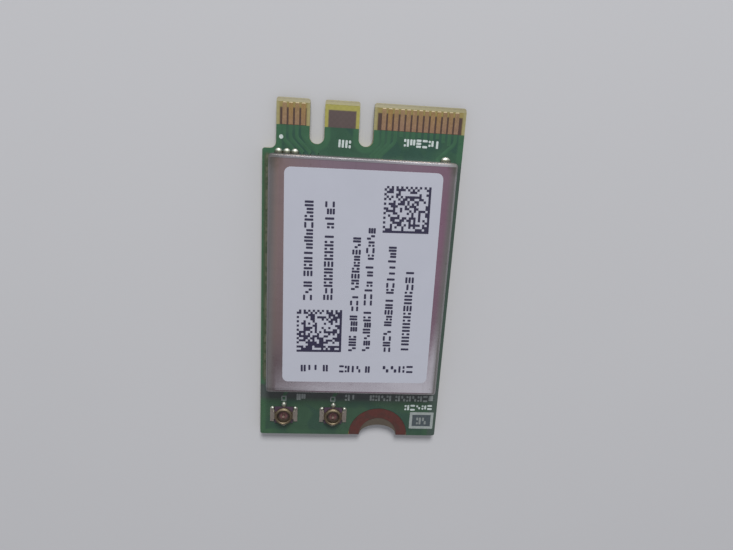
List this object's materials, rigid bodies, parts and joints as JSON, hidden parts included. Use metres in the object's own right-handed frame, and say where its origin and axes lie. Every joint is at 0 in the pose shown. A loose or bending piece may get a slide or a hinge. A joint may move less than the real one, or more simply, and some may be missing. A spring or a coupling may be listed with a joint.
{
  "type": "laptop wifi card",
  "caption": "Keyed plug-in radio card: a stepped circuit board with a labelled metal shield can, miniature coaxial sockets and a half-round screw notch.",
  "frame": {"origin": "under the middle of the board's outline, on the surface that the card lies on", "axes": "+Z out of the label side, +Y towards the edge with the contacts, +X towards the side away from the stepped shoulder"},
  "size_m": [0.0164, 0.03, 0.0023],
  "materials": {
    "bare laminate": "satin",
    "green solder mask": "semi-gloss lacquer",
    "contact gold": "plated, satin",
    "dull socket gold": "plated, dull",
    "oxidised copper": "bare, dulled",
    "tinned steel": "satin tin plate",
    "solder": "bright",
    "label paper": "matt coated film",
    "dark moulding": "matt",
    "chip ceramic": "matt",
    "ferrite": "matt"
  },
  "bodies": {
    "root": {"circuit_board": "bare laminate", "solder_mask_top": "green solder mask", "screw_ring_top": "oxidised copper", "solder_mask_bottom": "green solder mask", "screw_ring_bottom": "oxidised copper", "contact_top_01": "contact gold", "contact_top_03": "contact gold", "contact_top_05": "contact gold", "contact_top_07": "contact gold", "contact_top_33": "contact gold", "contact_top_35": "contact gold", "contact_top_37": "contact gold", "contact_top_39": "contact gold", "contact_top_41": "contact gold", "contact_top_43": "contact gold", "contact_top_45": "contact gold", "contact_top_47": "contact gold", "contact_top_49": "contact gold", "contact_top_51": "contact gold", "contact_top_53": "contact gold", "contact_top_55": "contact gold", "contact_top_57": "contact gold", "contact_bottom_02": "contact gold", "contact_bottom_04": "contact gold", "contact_bottom_06": "contact gold", "contact_bottom_32": "contact gold", "contact_bottom_34": "contact gold", "contact_bottom_36": "contact gold", "contact_bottom_38": "contact gold", "contact_bottom_40": "contact gold", "contact_bottom_42": "contact gold", "contact_bottom_44": "contact gold", "contact_bottom_46": "contact gold", "contact_bottom_48": "contact gold", "contact_bottom_50": "contact gold", "contact_bottom_52": "contact gold", "contact_bottom_54": "contact gold", "contact_bottom_56": "contact gold", "shield_can": "tinned steel", "label": "label paper", "solder_joint_left": "solder", "solder_joint_right": "solder", "receptacle_1_insulator": "dark moulding", "receptacle_1_socket": "dull socket gold", "receptacle_1_centre_contact": "contact gold", "receptacle_2_insulator": "dark moulding", "receptacle_2_socket": "dull socket gold", "receptacle_2_centre_contact": "contact gold", "radio_chip": "dark moulding", "memory_chip": "dark moulding", "front_end_module_1": "dark moulding", "front_end_module_2": "dark moulding", "reference_crystal": "chip ceramic", "power_inductor": "ferrite", "capacitor_1": "chip ceramic", "capacitor_2": "chip ceramic", "capacitor_3": "chip ceramic", "capacitor_4": "chip ceramic"}
  },
  "joints": []
}
